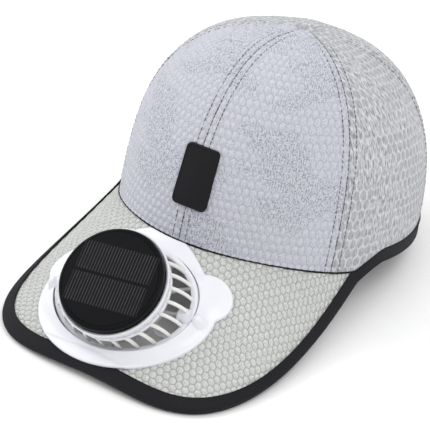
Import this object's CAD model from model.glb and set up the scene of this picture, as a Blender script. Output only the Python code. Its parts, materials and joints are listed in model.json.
"""Looks of the solar fan hat: cloth panels, woven edging, moulded plastic and the solar panel.

Everything is modelled on the level cap, as it is worn, and then placed by one matrix worked out
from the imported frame's two hinges. Lengths are in metres.
"""
import json
import logging
import math
from collections.abc import Callable, Iterable, Sequence
from dataclasses import dataclass
from enum import Enum

import bmesh
import bpy
import numpy as np
from mathutils import Matrix, Vector


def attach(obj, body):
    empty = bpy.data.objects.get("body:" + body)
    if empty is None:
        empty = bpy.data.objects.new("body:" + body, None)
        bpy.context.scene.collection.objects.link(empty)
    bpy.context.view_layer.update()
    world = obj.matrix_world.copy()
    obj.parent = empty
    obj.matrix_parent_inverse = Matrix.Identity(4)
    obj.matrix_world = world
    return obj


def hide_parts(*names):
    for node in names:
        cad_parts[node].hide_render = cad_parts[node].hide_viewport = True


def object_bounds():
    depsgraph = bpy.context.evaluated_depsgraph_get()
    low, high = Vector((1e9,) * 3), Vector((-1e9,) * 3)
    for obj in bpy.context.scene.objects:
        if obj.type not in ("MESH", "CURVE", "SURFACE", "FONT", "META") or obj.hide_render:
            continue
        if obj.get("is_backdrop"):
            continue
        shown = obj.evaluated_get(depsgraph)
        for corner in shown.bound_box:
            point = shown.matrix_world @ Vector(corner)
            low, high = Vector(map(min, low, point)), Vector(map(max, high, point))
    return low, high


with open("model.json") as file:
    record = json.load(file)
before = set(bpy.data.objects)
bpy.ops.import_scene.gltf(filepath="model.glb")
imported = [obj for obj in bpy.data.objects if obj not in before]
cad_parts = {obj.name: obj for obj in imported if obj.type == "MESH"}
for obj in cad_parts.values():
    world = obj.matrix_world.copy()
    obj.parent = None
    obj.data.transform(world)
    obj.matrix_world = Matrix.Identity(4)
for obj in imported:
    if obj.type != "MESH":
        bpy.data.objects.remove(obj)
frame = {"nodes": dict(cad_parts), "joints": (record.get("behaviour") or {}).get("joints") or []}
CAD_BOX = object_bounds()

logging.basicConfig(level=logging.INFO, format="%(message)s")
LOG = logging.getLogger("solar_fan_hat")

Value = "Wire | float"
GAP = 0.0003
TURN = 2 * math.pi


class Body(Enum):
    """The moving bodies of the hat."""

    CAP = "cap"
    FAN = "fan_head"
    ROTOR = "rotor"


# Shader maths


class Wire:
    """A value socket whose arithmetic adds Math nodes."""

    def __init__(self, paint: "Paint", socket: bpy.types.NodeSocket) -> None:
        """Wrap a socket of a material."""
        self.paint = paint
        self.socket = socket

    def math(self, operation: str, *others: Value, clamp: bool = False) -> "Wire":
        """Add one Math node.

        Args:
            operation: Blender's name of the operation.
            others: the operands after this one.
            clamp: whether the result is kept from 0 to 1.

        Returns:
            The node's result.
        """
        settings = {"operation": operation, "use_clamp": clamp}
        node = self.paint.node("ShaderNodeMath", settings, dict(enumerate((self, *others))))
        return Wire(self.paint, node.outputs[0])

    def __add__(self, other: Value) -> "Wire":
        """Sum."""
        return self.math("ADD", other)

    __radd__ = __add__

    def __mul__(self, other: Value) -> "Wire":
        """Product."""
        return self.math("MULTIPLY", other)

    __rmul__ = __mul__

    def __sub__(self, other: Value) -> "Wire":
        """Difference."""
        return self.math("SUBTRACT", other)

    def __rsub__(self, other: float) -> "Wire":
        """Difference from a number."""
        return self.math("MULTIPLY", -1.0).math("ADD", other)

    def __truediv__(self, other: Value) -> "Wire":
        """Quotient."""
        return self.math("DIVIDE", other)

    def __abs__(self) -> "Wire":
        """Size without sign."""
        return self.math("ABSOLUTE")

    def __mod__(self, other: float) -> "Wire":
        """Remainder, never below 0."""
        return self.math("FLOORED_MODULO", other)

    def __lt__(self, other: Value) -> "Wire":
        """1 where this is the smaller."""
        return self.math("LESS_THAN", other)

    def __pow__(self, other: float) -> "Wire":
        """Power."""
        return self.math("POWER", other)

    def most(self, other: Value) -> "Wire":
        """The larger of two."""
        return self.math("MAXIMUM", other)

    def clamped(self) -> "Wire":
        """Kept from 0 to 1."""
        return self.math("ADD", 0.0, clamp=True)

    def wave(self, length: float) -> "Wire":
        """A sine wave of a given length, from 0 to 1."""
        return (self * (TURN / length)).math("SINE") * 0.5 + 0.5

    def ramp(self, low: float, high: float) -> "Wire":
        """0 below low, 1 above high, eased between."""
        settings = {"interpolation_type": "SMOOTHSTEP"}
        node = self.paint.node("ShaderNodeMapRange", settings, {0: self, 1: low, 2: high})
        return Wire(self.paint, node.outputs[0])


class Paint:
    """One Principled material and the nodes that feed it."""

    def __init__(self, name: str) -> None:
        """Start a material of that name."""
        self.material = bpy.data.materials.new(name)
        self.material.use_nodes = True
        self.tree = self.material.node_tree
        self.shader = self.tree.nodes["Principled BSDF"]

    def node(self, kind: str, settings: dict | None = None, sockets: dict | None = None) -> bpy.types.Node:
        """Add any node.

        Args:
            kind: the node's type.
            settings: its properties, set first.
            sockets: values or wires for its inputs, by index or name.

        Returns:
            The node.
        """
        made = self.tree.nodes.new(kind)
        for key, value in (settings or {}).items():
            setattr(made, key, value)
        for key, value in (sockets or {}).items():
            self.feed(made.inputs[key], value)
        return made

    def feed(self, socket: bpy.types.NodeSocket, value: object) -> None:
        """Link a wire or socket to an input, or set the input to a number or colour."""
        if isinstance(value, Wire):
            value = value.socket
        if isinstance(value, bpy.types.NodeSocket):
            self.tree.links.new(value, socket)
        elif isinstance(value, tuple) and len(value) == 3 and len(socket.default_value) == 4:
            socket.default_value = (*value, 1.0)
        else:
            socket.default_value = value

    def set(self, **values: object) -> "Paint":
        """Feed the shader's own inputs; underscores stand for spaces."""
        for key, value in values.items():
            self.feed(self.shader.inputs[key.replace("_", " ")], value)
        return self

    def cloth_uv(self) -> tuple[Wire, Wire]:
        """The two lengths across and along a piece, in metres."""
        uv = self.node("ShaderNodeUVMap", {"uv_map": "UVMap"})
        split = self.node("ShaderNodeSeparateXYZ", None, {0: uv.outputs[0]})
        return Wire(self, split.outputs[0]), Wire(self, split.outputs[1])

    def noise(self, size: float, detail: float = 2.0, stretch: tuple = (1.0, 1.0, 1.0)) -> Wire:
        """Noise in object space.

        Args:
            size: width of its features, in metres.
            detail: number of octaves.
            stretch: how often it repeats along each axis, relative to the others.

        Returns:
            The noise, about 0.5 in the middle.
        """
        place = self.node("ShaderNodeTexCoord").outputs["Object"]
        scaled = self.node("ShaderNodeVectorMath", {"operation": "MULTIPLY"}, {0: place, 1: stretch})
        sockets = {"Vector": scaled.outputs[0], "Scale": 1 / size, "Detail": detail}
        return Wire(self, self.node("ShaderNodeTexNoise", None, sockets).outputs[0])

    def grain(self, u: Wire, v: Wire, width: float, length: float) -> Wire:
        """Noise laid out in the cloth's own lengths, with features of a given width and length."""
        place = self.node("ShaderNodeCombineXYZ", None, {0: u / width, 1: v / length})
        sockets = {"Vector": place.outputs[0], "Scale": 1.0, "Detail": 2.0}
        return Wire(self, self.node("ShaderNodeTexNoise", None, sockets).outputs[0])

    def mix(self, share: Value, first: object, second: object) -> bpy.types.NodeSocket:
        """Mix two colours by a share."""
        node = self.node("ShaderNodeMix", {"data_type": "RGBA"}, {0: share, 6: first, 7: second})
        return node.outputs[2]

    def bump(self, height: Wire, depth: float, strength: float = 1.0) -> bpy.types.NodeSocket:
        """Turn a height from 0 to 1 into a normal; depth is in metres."""
        sockets = {"Height": height, "Distance": depth, "Strength": strength}
        return self.node("ShaderNodeBump", None, sockets).outputs[0]

    def honeycomb(self, u: Wire, v: Wire, pitch: float) -> Wire:
        """How far inside a hexagonal cell a point is: 0 on its wall, 1 at its middle."""
        tall = math.sqrt(3)
        offsets = []
        for shift in (0.0, 0.5):
            across = (u / pitch - shift) % 1.0 - 0.5
            along = (v / pitch - shift * tall) % tall - tall / 2
            offsets.append((abs(across), abs(along), across * across + along * along))
        (a0, b0, near0), (a1, b1, near1) = offsets
        first = near0 < near1
        across = a1 + (a0 - a1) * first
        along = b1 + (b0 - b1) * first
        return 1 - across.most(across * 0.5 + along * (tall / 2)) * 2


# Finishes


@dataclass(frozen=True)
class Knit:
    """Honeycomb knit with slubs and flecks of darker yarn, in patches as the layers shift.

    The pitch is a cell's width, and the stretch how much longer than a regular one it is. The
    wall share is the width of a cell's wall, and the openness how much shows through a cell.
    Pairs are the strength outside and inside a patch: of the cells, and of the flecks.
    """

    name: str
    pitch: float
    stretch: float
    cell: tuple[float, float, float]
    wall: tuple[float, float, float]
    plain: tuple[float, float, float]
    fleck: tuple[float, float, float]
    wall_share: float
    cells: tuple[float, float]
    flecks: tuple[float, float]
    streaks: float
    relief: tuple[float, float]
    openness: float = 0.0
    yarn: float = 0.0009
    patch_width: float = 0.060
    patch_height: float = 0.038

    def paint(self) -> bpy.types.Material:
        """Make the material."""
        paint = Paint(self.name)
        u, v = paint.cloth_uv()
        inside = paint.honeycomb(u, v / self.stretch, self.pitch)
        body = inside.ramp(self.wall_share * 0.3, self.wall_share * 1.7)
        slub = paint.grain(u, v, self.yarn * 0.9, self.yarn * 4.0)
        dots = paint.grain(u, v, self.yarn, self.yarn * 1.2)
        patch = paint.grain(u, v, self.patch_width, self.patch_height).ramp(0.465, 0.52)
        tone = slub * self.streaks + dots * (1 - self.streaks)
        flecks = patch * (self.flecks[1] - self.flecks[0]) + self.flecks[0]
        dark = ((0.56 - tone) * 6.0).clamped() * flecks
        clear = patch * (self.cells[1] - self.cells[0]) + self.cells[0]
        woven = paint.mix(clear, self.plain, paint.mix(body, self.wall, self.cell))
        paint.set(Base_Color=paint.mix(dark, woven, self.fleck), Roughness=0.86)
        relief = inside.clamped() * clear * self.relief[0] + tone * self.relief[1]
        paint.set(Normal=paint.bump(relief, 0.00055))
        paint.set(Sheen_Weight=0.10, Sheen_Roughness=0.5, Specular_IOR_Level=0.22)
        if self.openness:
            pores = (dots * 1.6 - 0.3).clamped()
            paint.set(Alpha=1 - body * pores * self.openness)
        return paint.material


@dataclass(frozen=True)
class Tape:
    """Ribbed woven tape."""

    name: str
    colour: tuple[float, float, float]
    rib: float = 0.0007

    def paint(self) -> bpy.types.Material:
        """Make the material."""
        paint = Paint(self.name)
        u, v = paint.cloth_uv()
        rib = u.wave(self.rib)
        weft = v.wave(self.rib * 1.4)
        fuzz = paint.noise(0.0012, 3.0)
        worn = paint.noise(0.02, 2.0)
        light = tuple(c * 1.9 + 0.004 for c in self.colour)
        share = (rib * 0.35 + fuzz * 0.45 + worn * 0.3 - 0.1).clamped()
        paint.set(Base_Color=paint.mix(share, self.colour, light), Roughness=0.82 + fuzz * 0.1)
        paint.set(Normal=paint.bump(rib * 0.6 + weft * 0.2 + fuzz * 0.2, 0.0003))
        paint.set(Sheen_Weight=0.04, Sheen_Roughness=0.4, Specular_IOR_Level=0.16)
        return paint.material


@dataclass(frozen=True)
class Moulding:
    """Moulded plastic or rubber, with faint sink marks and a fine grain."""

    name: str
    colour: tuple[float, float, float]
    roughness: float
    coat: float = 0.0
    gloss: float = 0.5
    grain: float = 0.00003

    def paint(self) -> bpy.types.Material:
        """Make the material."""
        paint = Paint(self.name)
        grain = paint.noise(0.0006, 2.0)
        waves = paint.noise(0.011, 1.0)
        handled = paint.noise(0.006, 3.0)
        shade = tuple(c * 0.93 for c in self.colour)
        paint.set(Base_Color=paint.mix(waves, self.colour, shade))
        paint.set(Roughness=self.roughness + (handled - 0.5) * 0.16)
        paint.set(Normal=paint.bump(grain * 0.3 + waves * 0.7, self.grain))
        paint.set(Coat_Weight=self.coat, Coat_Roughness=0.12)
        paint.set(Specular_IOR_Level=self.gloss)
        return paint.material


@dataclass(frozen=True)
class SolarFace:
    """Black cells under a clear gloss layer, ruled with fine collecting lines in two rows."""

    name: str = "solar_cells"
    half_width: float = 0.0235
    low: float = -0.0175
    high: float = 0.0190
    split: float = 0.0010
    split_width: float = 0.0018
    pitch: float = 0.00181
    line_width: float = 0.00030

    def paint(self) -> bpy.types.Material:
        """Make the material."""
        paint = Paint(self.name)
        x, y = paint.cloth_uv()
        inside = (abs(x) < self.half_width) * (y < self.high) * (1 - (y < self.low))
        rows = inside * (1 - (abs(y - self.split) < self.split_width / 2))
        line = abs((x + self.pitch / 2) % self.pitch - self.pitch / 2) < self.line_width / 2
        fleck = paint.noise(0.004, 2.0)
        cells = paint.mix(rows, (0.0035, 0.0037, 0.0045), (0.0062, 0.0062, 0.0080))
        ruled = paint.mix(rows * line * (0.30 + 0.5 * fleck), cells, (0.12, 0.12, 0.13))
        dust = paint.noise(0.0011, 2.0)
        paint.set(Base_Color=ruled, Roughness=0.30 + (dust - 0.5) * 0.12)
        paint.set(Normal=paint.bump(fleck, 0.00002), Coat_Weight=0.0)
        paint.set(Specular_IOR_Level=0.09)
        return paint.material


@dataclass(frozen=True)
class Steel:
    """Turned and brushed bright steel."""

    name: str = "motor_can"

    def paint(self) -> bpy.types.Material:
        """Make the material."""
        paint = Paint(self.name)
        brushed = paint.noise(0.003, 3.0, (1.0, 1.0, 14.0))
        paint.set(Base_Color=paint.mix(brushed, (0.50, 0.50, 0.51), (0.66, 0.66, 0.66)), Metallic=1.0)
        paint.set(Roughness=0.24 + brushed * 0.2, Normal=paint.bump(brushed, 0.00002))
        return paint.material


class Finishes:
    """Every finish of the hat, made once and handed out by name."""

    SPECS = (
        Knit(
            "lined_knit", 0.0042, 1.35, (0.575, 0.582, 0.645), (0.475, 0.482, 0.540), (0.575, 0.582, 0.645),
            (0.205, 0.210, 0.248), 0.16, (0.95, 0.35), (0.36, 0.86), 0.40, (1.4, 1.3), yarn=0.0008,
        ),
        Knit(
            "open_mesh", 0.0050, 1.30, (0.425, 0.433, 0.452), (0.590, 0.598, 0.622), (0.610, 0.618, 0.645),
            (0.205, 0.211, 0.225), 0.20, (0.20, 0.80), (0.80, 0.52), 0.85, (0.6, 1.2), 0.22, 0.0010,
        ),
        Knit(
            "brim_knit", 0.0047, 1.00, (0.680, 0.690, 0.668), (0.405, 0.414, 0.400), (0.620, 0.630, 0.610),
            (0.270, 0.278, 0.270), 0.15, (1.0, 0.9), (0.38, 0.52), 0.45, (2.2, 1.3),
        ),
        Tape("binding_tape", (0.0085, 0.0085, 0.0105)),
        Tape("seam_lining", (0.30, 0.30, 0.34)),
        Tape("dark_thread", (0.055, 0.055, 0.065), 0.0004),
        Tape("black_thread", (0.008, 0.008, 0.010), 0.0004),
        Moulding("white_shell", (0.785, 0.795, 0.838), 0.34, 0.20, 0.4),
        Moulding("white_cage", (0.770, 0.762, 0.745), 0.38, 0.12, 0.35),
        Moulding("white_rotor", (0.660, 0.622, 0.560), 0.42, 0.05, 0.3),
        Moulding("label_rubber", (0.0075, 0.0075, 0.0088), 0.50, 0.0, 0.16, 0.00006),
        SolarFace(),
        Steel(),
    )

    def __init__(self) -> None:
        """Make every material."""
        self.made = {spec.name: spec.paint() for spec in self.SPECS}

    def __getitem__(self, name: str) -> bpy.types.Material:
        """The material of that name."""
        return self.made[name]

    @classmethod
    def knit(cls, name: str) -> Knit:
        """The sizes of a knit, for the relief of the cloth."""
        return next(spec for spec in cls.SPECS if spec.name == name)


# Meshes


def unit(vectors: np.ndarray) -> np.ndarray:
    """Scale vectors to length 1."""
    return vectors / np.maximum(np.linalg.norm(vectors, axis=-1, keepdims=True), 1e-12)


def moved(points: np.ndarray, matrix: Matrix) -> np.ndarray:
    """Put points through a matrix."""
    array = np.array(matrix)
    return points @ array[:3, :3].T + array[:3, 3]


def grid_quads(columns: int, rows: int, round_rows: bool = False) -> np.ndarray:
    """Faces of a grid of points, as indices.

    Args:
        columns: number of columns.
        rows: number of points in a column.
        round_rows: whether each column is a closed ring.

    Returns:
        An array of four corners for each face.
    """
    last = rows if round_rows else rows - 1
    i, j = np.meshgrid(np.arange(columns - 1), np.arange(last), indexing="ij")
    k = (j + 1) % rows
    quads = np.stack([i * rows + j, (i + 1) * rows + j, (i + 1) * rows + k, i * rows + k], -1)
    return quads.reshape(-1, 4)


def make_piece(
    name: str, points: np.ndarray, faces: Iterable, finish: bpy.types.Material,
    uv: np.ndarray | None = None, sharp: float = 50.0,
) -> bpy.types.Object:
    """Make a smooth-shaded mesh object with outward faces.

    Args:
        name: the piece's name.
        points: its points.
        faces: corners of each face.
        finish: its material.
        uv: two lengths for each point, in metres.
        sharp: angle in degrees above which an edge stays sharp.

    Returns:
        The object, linked to the scene.
    """
    mesh = bpy.data.meshes.new(name)
    mesh.from_pydata(points.tolist(), [], [list(map(int, face)) for face in faces])
    layer = mesh.uv_layers.new(name="UVMap")
    if uv is not None:
        corners = np.zeros(len(mesh.loops), np.int32)
        mesh.loops.foreach_get("vertex_index", corners)
        layer.data.foreach_set("uv", uv[corners].astype(np.float32).ravel())
    bm = bmesh.new()
    bm.from_mesh(mesh)
    bmesh.ops.delete(bm, geom=[v for v in bm.verts if not v.link_faces], context="VERTS")
    bmesh.ops.remove_doubles(bm, verts=bm.verts, dist=1e-7)
    bmesh.ops.recalc_face_normals(bm, faces=bm.faces)
    bm.to_mesh(mesh)
    bm.free()
    mesh.shade_smooth()
    mesh.set_sharp_from_angle(angle=math.radians(sharp))
    mesh.materials.append(finish)
    piece = bpy.data.objects.new(name, mesh)
    bpy.context.scene.collection.objects.link(piece)
    return piece


def shell(
    name: str, outer: np.ndarray, inner: np.ndarray, uv: np.ndarray, finish: bpy.types.Material,
    kept: np.ndarray | None = None,
) -> bpy.types.Object:
    """Close two matching grids into one thin wall.

    Args:
        name: the piece's name.
        outer: grid of outer points.
        inner: grid of inner points.
        uv: lengths for each grid point.
        finish: its material.
        kept: for each grid cell, whether it is filled.

    Returns:
        The object.
    """
    columns, rows = outer.shape[:2]
    quads = grid_quads(columns, rows)
    if kept is not None:
        quads = quads[kept.reshape(-1)]
    count = columns * rows
    edges = np.concatenate([quads[:, [k, (k + 1) % 4]] for k in range(4)])
    lone = ~np.isin(edges[:, 0] * count + edges[:, 1], edges[:, 1] * count + edges[:, 0])
    border = edges[lone]
    walls = np.stack([border[:, 1], border[:, 0], border[:, 0] + count, border[:, 1] + count], 1)
    faces = np.concatenate([quads, quads[:, ::-1] + count, walls])
    points = np.concatenate([outer.reshape(-1, 3), inner.reshape(-1, 3)])
    flat = uv.reshape(-1, 2)
    return make_piece(name, points, faces, finish, np.concatenate([flat, flat]))


def loft(
    name: str, rings: np.ndarray, finish: bpy.types.Material, closed: bool = False,
    uv: np.ndarray | None = None, sharp: float = 50.0,
) -> bpy.types.Object:
    """Skin a row of closed rings, with caps unless the row itself is closed."""
    if closed:
        rings = np.concatenate([rings, rings[:1]])
        uv = None if uv is None else np.concatenate([uv, uv[-1:] * 2 - uv[-2:-1]])
    count, around = rings.shape[:2]
    faces = grid_quads(count, around, True).tolist()
    points = rings.reshape(-1, 3)
    flat = None if uv is None else uv.reshape(-1, 2)
    if not closed:
        faces += [list(range(around))[::-1], list(range((count - 1) * around, count * around))]
    return make_piece(name, points, faces, finish, flat, sharp)


def merged(name: str, pieces: Sequence[bpy.types.Object]) -> bpy.types.Object:
    """Join pieces of one moulding into one object."""
    bm = bmesh.new()
    slots: list[bpy.types.Material] = []
    for piece in pieces:
        material = piece.data.materials[0]
        if material not in slots:
            slots.append(material)
        start = len(bm.faces)
        bm.from_mesh(piece.data)
        bm.faces.ensure_lookup_table()
        for index in range(start, len(bm.faces)):
            bm.faces[index].material_index = slots.index(material)
    mesh = bpy.data.meshes.new(name)
    bm.to_mesh(mesh)
    bm.free()
    for material in slots:
        mesh.materials.append(material)
    for piece in pieces:
        bpy.data.meshes.remove(piece.data)
    made = bpy.data.objects.new(name, mesh)
    bpy.context.scene.collection.objects.link(made)
    return made


def turned(
    name: str, profile: Sequence[tuple[float, float]], centre: Vector, matrix: Matrix,
    finish: bpy.types.Material, steps: int = 96, flat_uv: bool = False, sharp: float = 32.0,
) -> bpy.types.Object:
    """Spin a profile of radius and height about a line along Z.

    Args:
        name: the piece's name.
        profile: radius and height of each point, from one pole to the other.
        centre: a point of the line, in the matrix's frame.
        matrix: from that frame to the world.
        finish: its material.
        steps: number of steps round.
        flat_uv: whether the lengths are the plan's own X and Y, and not round and along.
        sharp: angle above which an edge stays sharp.

    Returns:
        The object.
    """
    turns = np.arange(steps) * TURN / steps
    rows = np.array(profile)
    rings = np.zeros((len(rows), steps, 3))
    rings[..., 0] = rows[:, :1] * np.cos(turns)
    rings[..., 1] = rows[:, :1] * np.sin(turns)
    rings[..., 2] = rows[:, 1:]
    if flat_uv:
        uv = rings[..., :2].copy()
    else:
        along = np.concatenate([[0], np.cumsum(np.hypot(*np.diff(rows, axis=0).T))])
        uv = np.stack(np.broadcast_arrays(turns * rows[:, 0].max(), along[:, None]), -1)
    return loft(name, moved(rings + np.array(centre), matrix), finish, uv=uv, sharp=sharp)


def rounded(corners: Sequence[tuple[float, float]], radius: float, steps: int = 3) -> list[tuple[float, float]]:
    """Round the inner corners of an open outline; its two ends stay."""
    made = [corners[0]]
    for before, corner, after in zip(corners, corners[1:], corners[2:]):
        at = Vector(corner)
        back, ahead = Vector(before) - at, Vector(after) - at
        reach = min(radius, back.length * 0.45, ahead.length * 0.45)
        start, end = at + back.normalized() * reach, at + ahead.normalized() * reach
        for i in range(steps + 1):
            share = i / steps
            point = start * (1 - share) ** 2 + at * (2 * share * (1 - share)) + end * share ** 2
            made.append((point.x, point.y))
    made.append(corners[-1])
    return made


def frames_along(path: np.ndarray, up: np.ndarray) -> tuple[np.ndarray, np.ndarray]:
    """Side and up directions for each point of a path."""
    along = unit(np.gradient(path, axis=0))
    side = unit(np.cross(along, up))
    return side, unit(np.cross(side, along))


def strip(path: np.ndarray, up: np.ndarray, width: float, depth: float | np.ndarray) -> np.ndarray:
    """Rounded bar along a path.

    Args:
        path: its middle points.
        up: direction of its depth at each point.
        width: size across.
        depth: size along up, one or for each point.

    Returns:
        Rings for a loft.
    """
    side, above = frames_along(path, up)
    turns = (np.arange(12) + 0.5) * TURN / 12
    across = np.sign(np.cos(turns)) * np.abs(np.cos(turns)) ** 0.6 * width / 2
    lift = np.sign(np.sin(turns)) * np.abs(np.sin(turns)) ** 0.6 / 2
    high = np.broadcast_to(np.asarray(depth, float), (len(path),))
    return (
        path[:, None] + side[:, None] * across[None, :, None]
        + above[:, None] * (lift[None, :] * high[:, None])[..., None]
    )


def stitches(
    name: str, places: np.ndarray, along: np.ndarray, out: np.ndarray, finish: bpy.types.Material,
    length: float = 0.0021, radius: float = 0.00022,
) -> bpy.types.Object:
    """Short rounded threads, one at each place, whose ends dip into the cloth."""
    stations = np.array([-1.0, -0.8, 0.0, 0.8, 1.0])
    girth = np.array([0.15, 0.8, 1.0, 0.8, 0.15])
    sag = np.array([1.2, 0.5, 0.0, 0.5, 1.2])
    turns = np.arange(6) * TURN / 6
    side = unit(np.cross(along, out))
    spine = (
        places[:, None] + along[:, None] * (stations * length / 2)[None, :, None]
        - out[:, None] * (sag * radius)[None, :, None]
    )
    rings = (
        spine[:, :, None]
        + side[:, None, None] * (girth[:, None] * np.cos(turns) * radius)[None, ..., None]
        + out[:, None, None] * (girth[:, None] * np.sin(turns) * radius)[None, ..., None]
    )
    each = len(stations) * len(turns)
    quads = grid_quads(len(stations), len(turns), True)
    faces: list = []
    for index in range(len(places)):
        faces += (quads + index * each).tolist()
        base = index * each
        faces.append(list(range(base, base + 6))[::-1])
        faces.append(list(range(base + each - 6, base + each)))
    uv = np.zeros((len(places) * each, 2))
    uv[:, 0] = np.tile(np.repeat(stations * length / 2, 6), len(places))
    return make_piece(name, rings.reshape(-1, 3), faces, finish, uv, 80.0)


def spaced(path: np.ndarray, step: float) -> tuple[np.ndarray, np.ndarray, np.ndarray]:
    """Index and share of evenly spaced places along a path, with the length at each.

    Args:
        path: its points.
        step: distance between places.

    Returns:
        The lower index, the share towards the next one, and the lengths.
    """
    lengths = np.concatenate([[0], np.cumsum(np.linalg.norm(np.diff(path, axis=0), axis=1))])
    wanted = np.arange(step / 2, lengths[-1], step)
    index = np.clip(np.searchsorted(lengths, wanted) - 1, 0, len(path) - 2)
    share = (wanted - lengths[index]) / (lengths[index + 1] - lengths[index])
    return index, share, wanted


def stitch_row(
    name: str, path: np.ndarray, out: np.ndarray, finish: bpy.types.Material, step: float = 0.0031,
    **sizes: float,
) -> bpy.types.Object:
    """A row of stitches along a path."""
    index, share, _ = spaced(path, step)
    share = share[:, None]
    places = path[index] * (1 - share) + path[index + 1] * share
    along = unit(path[index + 1] - path[index])
    normal = unit(out[index] * (1 - share) + out[index + 1] * share)
    return stitches(name, places, along, normal, finish, **sizes)


def honeycomb(u: np.ndarray, v: np.ndarray, pitch: float) -> np.ndarray:
    """How far inside a hexagonal cell each point is: 0 on its wall, 1 at its middle."""
    tall = math.sqrt(3)
    offsets = []
    for shift in (0.0, 0.5):
        across = np.abs(np.mod(u / pitch - shift, 1.0) - 0.5)
        along = np.abs(np.mod(v / pitch - shift * tall, tall) - tall / 2)
        offsets.append((across, along))
    (a0, b0), (a1, b1) = offsets
    first = a0 ** 2 + b0 ** 2 < a1 ** 2 + b1 ** 2
    across, along = np.where(first, a0, a1), np.where(first, b0, b1)
    return 1 - np.maximum(across, across * 0.5 + along * tall / 2) * 2


def eased(values: np.ndarray, low: float, high: float) -> np.ndarray:
    """0 below low, 1 above high, eased between."""
    share = np.clip((values - low) / (high - low), 0, 1)
    return share * share * (3 - 2 * share)


def normals_of(grid: np.ndarray) -> np.ndarray:
    """Normal at each point of a grid, on the side of columns crossed with rows."""
    return unit(np.cross(np.gradient(grid, axis=0), np.gradient(grid, axis=1)))


# The cap's form


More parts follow.
